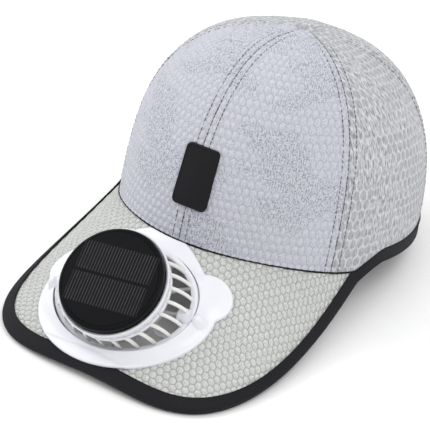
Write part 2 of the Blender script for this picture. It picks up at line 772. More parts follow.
@dataclass(frozen=True)
class CapForm:
    """Sizes of the level cap and the surfaces that follow from them."""

    half_width: float = 0.0865
    half_length: float = 0.0933
    height: float = 0.1166
    top_back: float = -0.0047
    wall: float = 0.0015
    shoulder: float = 0.0026
    apex: float = 0.0030
    hem_side: float = 0.0091
    hem_back: float = 0.0106
    round_powers: tuple[float, float, float] = (2.93, 2.36, 2.73)
    rise_powers: tuple[float, float, float] = (2.30, 2.82, 2.52)
    panels: int = 6

    brim_half_width: float = 0.1015
    brim_length: float = 0.0671
    brim_thickness: float = 0.0026
    pitch: float = math.radians(45.3)
    root_sag: float = 0.0576
    tip_sag: float = 0.0160
    root_level: float = -0.0009
    side_power: float = 4.05
    front_power: float = 2.84
    ear: float = math.radians(76.8)
    ear_blend: float = math.radians(10)
    binding_width: float = 0.0086
    binding_thickness: float = 0.0009

    fan_side: float = -0.0058
    fan_down: float = 0.0440
    fan_turn: float = math.radians(-8.5)
    fan_lean: float = math.radians(9.0)
    pivot_forward: float = 0.0020
    opening_half_width: float = 0.0445
    opening_half_length: float = 0.0346
    opening_forward: float = 0.0015
    rim_level: float = 0.0032
    cage_rim: float = 0.0030

    @property
    def ear_y(self) -> float:
        """Plan place of the ears, where the brim's edge meets the hem."""
        return -self.half_length * math.cos(self.ear)

    def brim_height(self, x: np.ndarray, y: np.ndarray) -> np.ndarray:
        """Height of the brim's upper face over its plan."""
        forward = -y - self.half_length
        sag = self.root_sag + (self.tip_sag - self.root_sag) * forward / self.brim_length
        return self.root_level - math.tan(self.pitch) * forward - sag * (x / self.brim_half_width) ** 2

    def brim_normal(self, x: np.ndarray, y: np.ndarray) -> np.ndarray:
        """Outward direction of the brim's upper face."""
        step = 0.0005
        along_x = (self.brim_height(x + step, y) - self.brim_height(x - step, y)) / (2 * step)
        along_y = (self.brim_height(x, y + step) - self.brim_height(x, y - step)) / (2 * step)
        return unit(np.stack([-along_x, -along_y, np.ones_like(along_x)], -1))

    def brim_point(self, x: np.ndarray, y: np.ndarray, lift: np.ndarray | float = 0.0) -> np.ndarray:
        """Point over the brim's upper face, measured square to it."""
        base = np.stack([x, y, self.brim_height(x, y)], -1)
        return base + self.brim_normal(x, y) * np.asarray(lift)[..., None]

    def brim_edge(self, turn: np.ndarray, inset: float = 0.0) -> tuple[np.ndarray, np.ndarray]:
        """Plan of the brim's outline, from ear to ear through the front."""
        ear_x = self.half_width * math.sin(self.ear)
        reach = np.cos(turn) ** (2 / self.front_power)
        side = np.abs(np.sin(turn)) ** (2 / self.side_power)
        half = (self.brim_half_width - inset) * reach + (ear_x - inset) * (1 - reach)
        tip = -self.half_length - self.brim_length + inset
        return np.sign(turn) * half * side, self.ear_y + (tip - self.ear_y) * reach

    def brim_stations(self, count: int, stop: float) -> np.ndarray:
        """Evenly spaced turns along the outline; stop is how near the ends come to the ears."""
        fine = np.linspace(-stop, stop, 4001)
        turns = np.sign(fine) * np.arccos(np.cos(fine) ** (self.front_power / 2))
        x, y = self.brim_edge(turns)
        lengths = np.concatenate([[0], np.cumsum(np.hypot(np.diff(x), np.diff(y)))])
        return np.interp(np.linspace(0, lengths[-1], count), lengths, turns)

    def join_inward(self, x: np.ndarray, y: np.ndarray, inset: float = 0.0) -> tuple[np.ndarray, np.ndarray]:
        """Where lines from the ears' middle to brim points meet the crown's foot."""
        low, high = np.zeros_like(x), np.ones_like(x)
        for _ in range(40):
            share = (low + high) / 2
            px, py = x * share, self.ear_y + (y - self.ear_y) * share
            size = (px / (self.half_width - inset)) ** 2 + (py / (self.half_length - inset)) ** 2
            low, high = np.where(size < 1, share, low), np.where(size < 1, high, share)
        return x * low, self.ear_y + (y - self.ear_y) * low

    def brim_room(self, x: np.ndarray, y: np.ndarray) -> np.ndarray:
        """Distance from brim points out to the edge."""
        wanted = np.arctan2(x, self.ear_y - y)
        low = np.full_like(x, -math.radians(88))
        high = -low
        for _ in range(30):
            turn = (low + high) / 2
            ex, ey = self.brim_edge(turn)
            short = np.arctan2(ex, self.ear_y - ey) < wanted
            low, high = np.where(short, turn, low), np.where(short, high, turn)
        gap = self.brim_point(*self.brim_edge(low)) - self.brim_point(x, y)
        return np.linalg.norm(gap, axis=-1)

    def hem_height(self, theta: np.ndarray, inset: float = 0.0) -> np.ndarray:
        """Height of the crown's lower edge; theta is 0 in front."""
        turn = np.abs(np.mod(theta + math.pi, TURN) - math.pi)
        on_brim = GAP / math.cos(self.pitch)
        on_binding = self.binding_thickness + GAP
        at = np.minimum(turn, self.ear)
        x = (self.half_width - inset) * np.sin(at)
        y = -(self.half_length - inset) * np.cos(at)
        ear = self.brim_height(x, y)
        ease = np.clip(1 - (self.ear - turn) / self.ear_blend, 0, 1)
        front = ear + on_brim + (on_binding - on_brim) * ease ** 2
        share = (turn - self.ear) / (math.pi - self.ear)
        side, back = self.hem_side, self.hem_back
        curve = ear + share * (4 * side - 3 * ear - back) + share ** 2 * (2 * ear - 4 * side + 2 * back)
        return np.where(turn <= self.ear, front, curve + on_binding)

    def power(self, theta: np.ndarray, powers: tuple[float, float, float]) -> np.ndarray:
        """Mix the side's power with the front's or back's."""
        ahead = np.cos(theta)
        end = np.where(ahead > 0, powers[0], powers[2])
        return powers[1] * (1 - ahead ** 2) + end * ahead ** 2

    def crown_point(self, theta: np.ndarray, phi: np.ndarray, inset: float = 0.0) -> np.ndarray:
        """Point of the crown; phi is 0 at the hem and a right angle at the top."""
        theta, phi = np.broadcast_arrays(theta, phi)
        around = np.maximum(np.cos(phi), 0) ** (2 / self.power(theta, self.round_powers))
        rise = np.sin(phi) ** (2 / self.power(theta, self.rise_powers))
        turn = np.abs(np.mod(theta + math.pi, TURN) - math.pi)
        near = np.exp(-((turn - math.pi / 3) / math.radians(40)) ** 2)
        around = around * (1 + self.shoulder / self.half_width * near * np.sin(2 * phi) ** 2)
        foot = self.hem_height(theta, inset)
        return np.stack([
            (self.half_width - inset) * np.sin(theta) * around,
            -(self.half_length - inset) * np.cos(theta) * around + self.top_back * rise,
            foot + (self.height - inset - foot) * rise,
        ], -1)

    def top_phi(self, theta: np.ndarray) -> np.ndarray:
        """Rise angle at which a panel ends under the button."""
        return np.arccos((self.apex / self.half_width) ** (self.power(theta, self.round_powers) / 2))

    def seat_local(self) -> Matrix:
        """Place of the fan's seat on the brim: X to the side, Y up the brim, Z off it."""
        down = Vector((0, -math.cos(self.pitch), -math.sin(self.pitch)))
        off = Vector((0, -math.sin(self.pitch), math.cos(self.pitch)))
        side = Vector((1, 0, 0))
        across = side * math.cos(self.fan_turn) + down * math.sin(self.fan_turn)
        back = side * math.sin(self.fan_turn) - down * math.cos(self.fan_turn)
        place = Vector((self.fan_side, -self.half_length, self.root_level)) + down * self.fan_down
        return Matrix.Translation(place) @ Matrix((across, back, off)).transposed().to_4x4()

    @property
    def pivot(self) -> Vector:
        """Middle of the tilting line in the seat's frame."""
        return Vector((0, -self.opening_forward - self.pivot_forward, self.rim_level - self.cage_rim / 2))

    def head_world(self) -> Matrix:
        """The fan head's frame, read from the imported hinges."""
        joints = {joint["name"]: joint for joint in frame["joints"]}
        x = Vector(joints["fan_tilt"]["axis"]).normalized()
        z = Vector(joints["impeller_spin"]["axis"]).normalized()
        axes = Matrix((x, z.cross(x), z)).transposed().to_4x4()
        return Matrix.Translation(Vector(joints["fan_tilt"]["pos_m"])) @ axes

    def seat_world(self) -> Matrix:
        """The fan seat's frame in the world."""
        from_seat = Matrix.Translation(self.pivot) @ Matrix.Rotation(self.fan_lean, 4, "X")
        return self.head_world() @ from_seat.inverted()

    def cap_world(self) -> Matrix:
        """The level cap's frame in the world."""
        return self.seat_world() @ self.seat_local().inverted()


@dataclass
class Dresser:
    """Shared work of every sub-assembly: the form, the finishes and the record of pieces."""

    form: CapForm
    finishes: Finishes

    def hang(self, piece: bpy.types.Object, body: Body, slot: str, *nodes: str) -> bpy.types.Object:
        """Ride a piece on its body, name its slot and what it stands for, and log it.

        Args:
            piece: the finished piece.
            body: what it moves with.
            slot: the record's material slot.
            nodes: the plain solids that it replaces.

        Returns:
            The piece.
        """
        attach(piece, body.value)
        if nodes:
            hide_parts(*nodes)
        LOG.info("%s: %d faces on %s", piece.name, len(piece.data.polygons), body.value)
        return piece

    def dress(self, node: str, finish: str) -> None:
        """Give a solid that stays a better finish."""
        mesh = frame["nodes"][node].data
        mesh.materials.clear()
        mesh.materials.append(self.finishes[finish])
        mesh.shade_smooth()
        mesh.set_sharp_from_angle(angle=math.radians(30))
        LOG.info("%s: dressed in %s", node, finish)


@dataclass
class Crown(Dresser):
    """Six gores with topstitched seams, the button and the tapes inside."""

    columns: int = 92
    rows: int = 124
    wall: float = 0.0012
    seam_half: float = 0.0054
    stitch_side: float = 0.0044
    pucker: float = 0.00022
    pucker_length: float = 0.0045
    seam_depth: float = 0.0006
    seam_swell: float = 0.00040
    button_radius: float = 0.0072
    button_height: float = 0.0042
    names: tuple[str, ...] = (
        "front_panel_left", "side_panel_left", "back_panel_left",
        "back_panel_right", "side_panel_right", "front_panel_right",
    )

    def phi_shares(self, theta: float) -> np.ndarray:
        """Shares of the rise at which rows lie evenly along a gore's middle."""
        fine = np.linspace(0, 1, 3000) ** 2
        path = self.form.crown_point(np.full_like(fine, theta), fine * self.form.top_phi(theta))
        lengths = np.concatenate([[0], np.cumsum(np.linalg.norm(np.diff(path, axis=0), axis=1))])
        return np.interp(np.linspace(0, lengths[-1], self.rows), lengths, fine)

    def drape(self, u: np.ndarray, v: np.ndarray, index: int, stiff: float) -> np.ndarray:
        """Soft dents and folds of a gore.

        Args:
            u: length across from the middle.
            v: length up from the hem.
            index: number of the gore.
            stiff: 1 for a lined gore, less for a limp one.

        Returns:
            Height of the dents.
        """
        phase = index * 1.7
        folds = (
            np.sin(u / 0.0135 + v / 0.055 + phase) * 0.45
            + np.sin(v / 0.0150 - u / 0.040 + phase * 2) * 0.35
            + np.sin((u + v) / 0.0210 + phase * 3) * 0.50
        )
        rise = v.max()
        return folds * 0.00042 / stiff * eased(v, 0.0, 0.02) * eased(rise - v, 0.0, 0.03)

    def gore(self, index: int) -> bpy.types.Object:
        """One gore with its relief."""
        form, name = self.form, self.names[index]
        front = name.startswith("front")
        pitch = TURN / form.panels
        start = index * pitch
        theta = start + np.linspace(0.0012, pitch - 0.0012, self.columns)
        shares = self.phi_shares(start + pitch / 2)
        phi = form.top_phi(theta)[:, None] * shares[None]
        grid = form.crown_point(theta[:, None], phi)
        steps = np.linalg.norm(np.diff(grid, axis=0), axis=-1)
        across = np.concatenate([np.zeros((1, self.rows)), np.cumsum(steps, axis=0)])
        width = across[-1:]
        u = across - width / 2
        climb = np.linalg.norm(np.diff(grid[self.columns // 2], axis=0), axis=-1)
        v = np.broadcast_to(np.concatenate([[0], np.cumsum(climb)]), u.shape)
        edge = np.minimum(across, width - across)
        finish = "lined_knit" if front else "open_mesh"
        knit = Finishes.knit(finish)
        cells = np.clip(honeycomb(u, v / knit.stretch, knit.pitch), 0, 1)
        lift = (eased(cells, 0.0, 0.75) - 0.6) * (0.00030 if front else 0.00020)
        lift = lift + self.drape(u, v, index, 1.3 if front else 0.9) * eased(edge, 0.004, 0.018)
        lift = lift + 0.0008 * np.sin(np.clip(edge / np.maximum(width / 2, 1e-6), 0, 1) * math.pi / 2)
        lift = lift - self.seam_depth * np.exp(-(edge / 0.0006) ** 2)
        lift = lift + self.seam_swell * (1 - eased(edge, self.seam_half - 0.0006, self.seam_half + 0.0005))
        lift = lift - 0.00038 * np.exp(-((edge - self.stitch_side) / 0.00045) ** 2)
        ripple = np.sin(v * TURN / self.pucker_length + 1.5 * np.sin(v * TURN / (self.pucker_length * 2.7)))
        lift = lift + self.pucker * ripple * np.exp(-((edge - 0.5 * self.stitch_side) / 0.0032) ** 2)
        normal = normals_of(grid)
        outer = grid + normal * lift[..., None]
        inner = grid - normal * self.wall
        world = form.cap_world()
        uv = np.stack([u, v], -1)
        piece = shell(f"{name}_cloth", moved(outer, world), moved(inner, world), uv, self.finishes[finish])
        slot = "lined_knit" if front else "open_mesh"
        return self.hang(piece, Body.CAP, slot, name)

    def seam(self, index: int) -> bpy.types.Object:
        """Three rows of thread along one seam: the join itself and both topstitches."""
        form = self.form
        theta = TURN / form.panels * index
        shares = self.phi_shares(theta)
        phi = form.top_phi(theta) * shares[:-6]
        centre = form.crown_point(np.full_like(phi, theta), phi)
        beside = form.crown_point(np.full_like(phi, theta + 0.01), phi) - centre
        rate = np.linalg.norm(beside, axis=-1) / 0.01
        side = unit(beside)
        normal = unit(np.cross(side, np.gradient(centre, axis=0)))
        normal *= np.sign((normal * (centre - np.array([0, 0, 0.03]))).sum(-1))[:, None]
        world = form.cap_world()
        rows = []
        for offset, lift, radius, step in (
            (-self.stitch_side, 0.00040, 0.00024, 0.0029),
            (0.0, -0.00005, 0.00026, 0.0025),
            (self.stitch_side, 0.00040, 0.00024, 0.0029),
        ):
            room = self.apex_room(centre)
            shift = np.clip(room * 0.30, 0, abs(offset)) * np.sign(offset)
            turn = form.crown_point(theta + shift / rate, phi)
            path = moved(turn + normal * lift, world)
            out = moved(normal, world.to_3x3().to_4x4())
            rows.append(stitch_row(
                f"row_{index}_{offset}", path, out, self.finishes["dark_thread"], step,
                length=step * 0.84, radius=radius,
            ))
        return self.hang(merged(f"seam_thread_{index + 1}", rows), Body.CAP, "seam_tape")

    def apex_room(self, centre: np.ndarray) -> np.ndarray:
        """Distance of seam points from the button's line."""
        return np.hypot(centre[:, 0], centre[:, 1] - self.form.top_back)

    def button(self) -> bpy.types.Object:
        """Cloth-covered button with a turned-under edge."""
        base = self.form.height - 0.0002
        dome = [
            (self.button_radius * math.cos(a) ** 0.75, base + self.button_height * math.sin(a))
            for a in np.linspace(0, math.pi / 2, 14)[:-1]
        ]
        low = [(0.0, base - 0.0022), (self.button_radius * 0.55, base - 0.0020), (self.button_radius * 0.93, base - 0.0006)]
        profile = low + dome + [(0.0, base + self.button_height)]
        centre = Vector((0, self.form.top_back, 0))
        world = self.form.cap_world()
        piece = turned("top_button_cloth", profile, centre, world, self.finishes["open_mesh"], 48, True, 70)
        return self.hang(piece, Body.CAP, "open_mesh", "top_button")

    def build(self) -> None:
        """Build the crown."""
        for index in range(self.form.panels):
            self.gore(index)
            self.seam(index)
            self.dress(f"seam_tape_{index + 1}", "seam_lining")
        self.button()


@dataclass
class Peak(Dresser):
    """The stiff brim under pillowy honeycomb knit, open where the fan sits."""

    columns: int = 320
    rows: int = 112
    cell_height: float = 0.00052
    hole_grow: float = 0.0017
    stop: float = math.radians(88.0)

    def lengths(self, x: np.ndarray, y: np.ndarray) -> tuple[np.ndarray, np.ndarray]:
        """Lengths across the arch and down the slope."""
        form = self.form
        forward = -y - form.half_length
        sag = form.root_sag + (form.tip_sag - form.root_sag) * forward / form.brim_length
        bend = 2 * sag / form.brim_half_width ** 2
        u = (x * np.sqrt(1 + (bend * x) ** 2) + np.arcsinh(bend * x) / bend) / 2
        return u, forward / math.cos(form.pitch)

    def build(self) -> None:
        """Build the brim's shell."""
        form = self.form
        turn = form.brim_stations(self.columns, self.stop)
        ex, ey = form.brim_edge(turn, form.binding_thickness + GAP)
        jx, jy = form.join_inward(ex, ey, form.wall)
        share = np.linspace(0, 1, self.rows)
        x = jx[:, None] + (ex - jx)[:, None] * share
        y = jy[:, None] + (ey - jy)[:, None] * share
        inverse = form.seat_local().inverted()
        local = moved(form.brim_point(x, y), inverse)
        ox = local[..., 0] / (form.opening_half_width + self.hole_grow)
        oy = (local[..., 1] + form.opening_forward) / (form.opening_half_length + self.hole_grow)
        reach = np.hypot(ox, oy)
        inside = reach < 1
        corner = lambda a: (a[:-1, :-1], a[1:, :-1], a[1:, 1:], a[:-1, 1:])
        kept = ~np.logical_and.reduce(corner(inside))
        u, v = self.lengths(x, y)
        cells = np.clip(honeycomb(u, v, Finishes.knit("brim_knit").pitch), 0, 1)
        lift = self.cell_height * (1 - (1 - cells) ** 2.4) - self.cell_height * 0.5
        lift = lift * eased(np.broadcast_to(1 - share, x.shape), 0.0, 0.05)
        snapped = np.where(inside, 1 / np.maximum(reach, 1e-6), 1.0)
        flat = local.copy()
        flat[..., 0] = local[..., 0] * snapped
        flat[..., 1] = (local[..., 1] + form.opening_forward) * snapped - form.opening_forward
        near = moved(flat, form.seat_local())
        near_x, near_y = near[..., 0], near[..., 1]
        outer = form.brim_point(near_x, near_y, lift)
        inner = form.brim_point(near_x, near_y, -form.brim_thickness)
        world = form.cap_world()
        uv = np.stack([u, v], -1)
        piece = shell("brim_cloth", moved(outer, world), moved(inner, world), uv, self.finishes["brim_knit"], kept)
        self.hang(piece, Body.CAP, "brim_knit", "brim")


@dataclass
class Edging(Dresser):
    """One woven tape folded round the brim's edge and on round the hem, with its stitching."""

    stop: float = math.radians(88.6)
    hem_start: float = math.radians(79.0)
    across: int = 6
    bend_steps: int = 8

    def section(self, top: Callable, low: Callable, out: np.ndarray, up: np.ndarray) -> np.ndarray:
        """Outlines of the folded tape at many stations.

        Args:
            top: gives points of the upper covered face at a depth from the edge, with a lift.
            low: the same for the lower face.
            out: direction off the edge at each station.
            up: normal of the upper face at the edge.

        Returns:
            A ring of points for each station.
        """
        form = self.form
        depths = np.linspace(1, 0, self.across)[:-1]
        points = []
        for lift, order in ((form.binding_thickness + GAP, 1), (GAP, -1)):
            side = []
            side += [top(d, lift) for d in depths]
            start, end = top(0.0, lift), low(0.0, lift)
            middle, half = (start + end) / 2, np.linalg.norm(start - end, axis=-1, keepdims=True) / 2
            for angle in np.linspace(math.pi / 2, -math.pi / 2, self.bend_steps):
                side.append(middle + up * half * math.sin(angle) + out * (half * 0.75) * math.cos(angle))
            side += [low(d, lift) for d in depths[::-1]]
            points += side[::order]
        return np.stack(points, 1)

    def brim_sections(self) -> np.ndarray:
        """The tape round the brim, from the right ear to the left."""
        form = self.form
        turn = form.brim_stations(300, self.stop)
        ex, ey = form.brim_edge(turn, form.binding_thickness + GAP)
        jx, jy = form.join_inward(ex, ey)
        full = np.linalg.norm(form.brim_point(ex, ey) - form.brim_point(jx, jy), axis=-1)
        reach = np.minimum(form.binding_width - form.binding_thickness, np.maximum(full, 0.0004)) / full

        def at(depth: float) -> tuple[np.ndarray, np.ndarray]:
            return ex + (jx - ex) * reach * depth, ey + (jy - ey) * reach * depth

        up = form.brim_normal(ex, ey)
        out = unit(form.brim_point(ex, ey) - form.brim_point(*at(1.0)))
        return self.section(
            lambda d, lift: form.brim_point(*at(d), lift),
            lambda d, lift: form.brim_point(*at(d), -form.brim_thickness - lift), out, up,
        )

    def hem_sections(self) -> np.ndarray:
        """The tape round the hem, from the left ear round the back to the right ear."""
        form = self.form
        theta = np.linspace(self.hem_start, TURN - self.hem_start, 300)
        shares = 0.10
        faces = []
        for inset in (0.0, form.wall):
            foot = form.crown_point(theta, np.zeros_like(theta), inset)
            above = unit(form.crown_point(theta, np.full_like(theta, shares), inset) - foot)
            faces.append((foot, above))
        out = np.stack([np.sin(theta), -np.cos(theta), np.zeros_like(theta)], -1)
        down = np.broadcast_to(np.array([0.0, 0.0, -1.0]), out.shape)
        width = form.binding_width
        return self.section(
            lambda d, lift: faces[0][0] + faces[0][1] * width * d + out * lift,
            lambda d, lift: faces[1][0] + faces[1][1] * width * d - out * lift, down, out,
        )

    def build(self) -> None:
        """Build the tape, its stitching and the dark cord along the crown's foot."""
        form = self.form
        rings = np.concatenate([self.brim_sections(), self.hem_sections()])
        brim_count = 300
        length = np.linalg.norm(np.diff(rings.mean(1), axis=0), axis=-1)
        along = np.concatenate([[0], np.cumsum(length)])
        ears = (along[brim_count - 1] + along[brim_count]) / 2, along[-1]
        for _ in range(60):
            soft = (np.roll(rings, 1, 0) + rings * 2 + np.roll(rings, -1, 0)) / 4
            near = np.minimum(np.abs(along - ears[0]), np.minimum(np.abs(along - ears[1]), along))
            weight = (1 - eased(near, 0.006, 0.014))[:, None, None]
            rings = rings * (1 - weight) + soft * weight
        wobble = np.sin(along / 0.0075) * 0.5 + np.sin(along / 0.0171 + 1.0) * 0.5
        centre = rings.mean(1, keepdims=True)
        rings = rings + (rings - centre) * ((wobble * 0.018)[:, None, None] + weight * 0.16)
        around = np.linalg.norm(np.diff(rings[0], axis=0), axis=-1)
        v = np.concatenate([[0], np.cumsum(around)])
        uv = np.stack(np.broadcast_arrays(along[:, None], v[None]), -1)
        world = form.cap_world()
        placed = moved(rings, world)
        placed[..., 2] = np.maximum(placed[..., 2], 0.0)
        piece = loft("edge_binding", placed, self.finishes["binding_tape"], True, uv, 60)
        self.hang(piece, Body.CAP, "binding", "brim_binding", "hem_binding")
        inner = placed[:, 0] * 0.80 + placed[:, 1] * 0.20
        out = unit(placed[:, 1] - placed[:, -2])
        loop = np.concatenate([inner, inner[:1]]) + np.concatenate([out, out[:1]]) * 0.00008
        thread = stitch_row(
            "edge_stitching", loop, np.concatenate([out, out[:1]]), self.finishes["black_thread"],
            0.0030, length=0.0023, radius=0.00022,
        )
        self.hang(thread, Body.CAP, "binding")
        theta = np.linspace(-form.ear, form.ear, 240)
        foot = form.crown_point(theta, np.zeros_like(theta), -0.0004) + np.array([0, 0, 0.0002])
        up = np.broadcast_to(np.array([0.0, 0.0, 1.0]), foot.shape)
        cord = loft("join_piping", moved(strip(foot, up, 0.0011, 0.0010), world), self.finishes["binding_tape"])
        self.hang(cord, Body.CAP, "binding")


@dataclass
class Label(Dresser):
    """Bare rubber patch with a raised border, sewn over the front seam."""

    width: float = 0.0230
    height: float = 0.0345
    corner: float = 0.0030
    middle: float = 0.0386
    side: float = 0.0020
    thickness: float = 0.0012

    def outline(self, steps: int = 10) -> np.ndarray:
        """Corners of the rounded patch, about its middle."""
        points = []
        for quarter in range(4):
            sx, sz = (1, 1, -1, -1)[quarter], (1, -1, -1, 1)[quarter]
            cx, cz = sx * (self.width / 2 - self.corner), sz * (self.height / 2 - self.corner)
            for i in range(steps + 1):
                angle = math.pi / 2 - (quarter + i / steps) * math.pi / 2
                points.append((cx + self.corner * math.cos(angle), cz + self.corner * math.sin(angle)))
        return np.array(points)

    def on_crown(self, plan: np.ndarray, lift: float) -> np.ndarray:
        """Lay plan points on the crown at a lift."""
        form = self.form
        theta = self.side / form.half_width + np.arcsin(plan[..., 0] / form.half_width)
        low, high = np.zeros_like(theta), np.full_like(theta, math.radians(60))
        for _ in range(30):
            phi = (low + high) / 2
            under = form.crown_point(np.zeros_like(phi), phi)[..., 2] < self.middle + plan[..., 1]
            low, high = np.where(under, phi, low), np.where(under, high, phi)
        return form.crown_point(theta, low, -lift)

    def build(self) -> None:
        """Build the patch and its stitching."""
        edge = self.outline()
        half = self.width / 2
        top = self.thickness + 0.0010
        steps = (
            (half, 0.0006), (half, top - 0.0004), (half - 0.00015, top - 0.0001), (half - 0.0004, top),
            (half - 0.0009, top), (half - 0.00115, top - 0.00035), (half - 0.0020, top - 0.0004),
            (half * 0.75, top - 0.0004), (half * 0.5, top - 0.0004), (half * 0.25, top - 0.0004), (0.0, top - 0.0004),
        )
        rings = []
        uvs = []
        length = np.maximum(np.linalg.norm(edge, axis=-1, keepdims=True), 1e-6)
        for reach, lift in steps:
            inset = half - reach
            shrink = np.array([(half - inset) / half, max(self.height / 2 - inset, self.height / 2 - half) / (self.height / 2)])
            plan = edge * shrink
            rings.append(self.on_crown(plan, lift))
            uvs.append(plan)
        world = self.form.cap_world()
        piece = loft(
            "label_patch_rubber", moved(np.array(rings), world), self.finishes["label_rubber"],
            uv=np.array(uvs), sharp=40,
        )
        self.hang(piece, Body.CAP, "label_rubber", "label_patch")
        path_plan = edge * (1 - 0.00155 / length)
        path = np.concatenate([path_plan, path_plan[:1]])
        line = moved(self.on_crown(path, top - 0.00036), world)
        above = moved(self.on_crown(path, top + 0.002), world)
        thread = stitch_row(
            "label_stitching", line, unit(above - line), self.finishes["black_thread"], 0.0021,
            length=0.0015, radius=0.00013,
        )
        self.hang(thread, Body.CAP, "label_rubber")


@dataclass
class FanSeat(Dresser):
    """The white frame on the brim and the plain ring that holds it from below."""

    half_width: float = 0.0546
    half_length: float = 0.0468
    outline_side: float = -0.0011
    back_tuck: float = 0.0152
    thickness: float = 0.0018
    step_run: float = 0.0040
    lobe_side: float = 0.0442
    lobe_back: float = 0.0128
    lobe_radius: float = 0.0146
    lobe_fillet: float = 0.0020
    skirt_wall: float = 0.0013
    skirt_depth: float = 0.0035
    clamp_width: float = 0.0044
    clamp_thickness: float = 0.0018
    steps: int = 280

    def brim_level(self, x: np.ndarray, y: np.ndarray, lift: float = 0.0) -> np.ndarray:
        """Height in the seat's frame of the brim's upper face, or of a face parallel to it."""
        form, z = self.form, np.zeros_like(x)
        place = form.seat_local()
        off = np.array([0, -math.sin(form.pitch), math.cos(form.pitch)])
        for _ in range(8):
            point = moved(np.stack([x, y, z], -1), place)
            normal = form.brim_normal(point[..., 0], point[..., 1])
            miss = (point[..., 2] - form.brim_height(point[..., 0], point[..., 1])) * normal[..., 2] - lift
            z = z - miss / (normal @ off)
        return z

    def rest_level(self, x: np.ndarray, y: np.ndarray) -> np.ndarray:
        """Height of what the frame lies on: the brim, or the tape on it."""
        form = self.form
        low = self.brim_level(x, y) + GAP
        point = moved(np.stack([x, y, low], -1), form.seat_local())
        room = form.brim_room(point[..., 0], point[..., 1])
        over = np.clip((form.binding_width + self.step_run - room) / self.step_run, 0, 1)
        return low + (form.binding_thickness + GAP) * (1 - (1 - over) ** 2)

    def opening(self, turn: np.ndarray, grow: float) -> np.ndarray:
        """Plan of the opening, grown by a wall or gap."""
        form = self.form
        x = (form.opening_half_width + grow) * np.cos(turn)
        y = (form.opening_half_length + grow) * np.sin(turn) - form.opening_forward
        return np.stack([x, y], -1)

    def outer(self, turn: np.ndarray) -> np.ndarray:
        """Plan of the outer edge: an oval with a round lobe towards the crown on each side."""
        form = self.form
        ray = np.stack([np.cos(turn), np.sin(turn)], -1)
        half_width = self.half_width - self.back_tuck * np.maximum(ray[:, 1], 0)
        square = (ray[:, 0] / half_width) ** 2 + (ray[:, 1] / self.half_length) ** 2
        shift = ray[:, 0] * self.outline_side / half_width ** 2
        rest = 1 - (self.outline_side / half_width) ** 2
        oval = (shift + np.sqrt(shift ** 2 + square * rest)) / square
        lobe = np.zeros_like(turn)
        for side in (-1, 1):
            centre = np.array([side * self.lobe_side + self.outline_side, self.lobe_back])
            along = ray @ centre
            inside = along ** 2 - centre @ centre + self.lobe_radius ** 2
            reach = along + np.sqrt(np.maximum(inside, 0))
            lobe = np.where((inside > 0) & (along > 0), np.maximum(lobe, reach), lobe)
        blend = np.maximum(self.lobe_fillet - np.abs(oval - lobe), 0) / self.lobe_fillet
        reach = np.maximum(oval, lobe) + blend ** 2 * self.lobe_fillet / 4
        clear = 2 * GAP
        for _ in range(60):
            plan = ray * reach[:, None]
            level = self.brim_level(plan[:, 0], plan[:, 1])
            point = moved(np.stack([plan[:, 0], plan[:, 1], level], -1), form.seat_local())
            size = np.hypot(point[:, 0] / (form.half_width + clear), point[:, 1] / (form.half_length + clear))
            reach = np.where(size < 1, reach - GAP / 2, reach)
        return ray * reach[:, None]

    def flange(self) -> bpy.types.Object:
        """The moulded frame in one closed loop of sections."""
        form = self.form
        turn = np.arange(self.steps) * TURN / self.steps
        inner = self.opening(turn, 0.0)
        outer = self.outer(np.arctan2(inner[:, 1], inner[:, 0]))
        base = self.rest_level(inner[:, 0], inner[:, 1])
        raised = np.maximum(form.rim_level - base - self.thickness, 0)
        shares = np.concatenate([[0.0, 0.02, 0.05], np.linspace(0.1, 0.9, 17), [0.94, 0.97, 0.99, 1.0]])
        tops, unders = [], []
        for share in shares:
            plan = inner + (outer - inner) * share
            low = self.rest_level(plan[:, 0], plan[:, 1])
            swell = raised * (1 - share) ** 2
            width = np.linalg.norm(outer - inner, axis=-1)
            near = np.minimum(share * width + 0.0001, np.maximum((1 - share) * width, 0)) / 0.0011
            round_off = 0.0009 * (1 - np.sqrt(1 - np.clip(1 - near, 0, 1) ** 2))
            pin = self.pin_swell(plan)
            top = np.maximum(low + self.thickness + swell, pin) - round_off
            tops.append(np.column_stack([plan, top]))
            unders.append(np.column_stack([plan, low + np.minimum(swell, top - low - 0.0005)]))
        skirt = self.opening(turn, self.skirt_wall)
        low = self.brim_level(skirt[:, 0], skirt[:, 1]) - form.brim_thickness - self.skirt_depth
        under_skirt = unders[5][:, 2]
        ring = tops + unders[:5:-1] + [
            np.column_stack([skirt, under_skirt]), np.column_stack([skirt, low + 0.0003]),
            np.column_stack([skirt * 0.995 + inner * 0.005, low]), np.column_stack([inner, low]),
        ]
        rings = moved(np.stack(ring, 1), form.seat_world())
        piece = loft("fan_flange_shell", rings, self.finishes["white_shell"], True, sharp=38)
        return self.hang(piece, Body.CAP, "white_plastic", "fan_flange")

    def pin_swell(self, plan: np.ndarray) -> np.ndarray:
        """Height of the two rounded bearing housings over the pins, far below elsewhere."""
        form = self.form
        pivot = form.pivot
        top = np.full(len(plan), -1.0)
        for side in (-1, 1):
            x = (plan[:, 0] * side - form.opening_half_width - 0.0018) / 0.0052
            y = (plan[:, 1] - pivot.y) / 0.0048
            away = np.clip(x ** 2 + y ** 2, 0, 1)
            dome = pivot.z + 0.0030 - 0.0105 * away ** 1.5
            top = np.where(away < 1, np.maximum(top, dome), top)
        return top

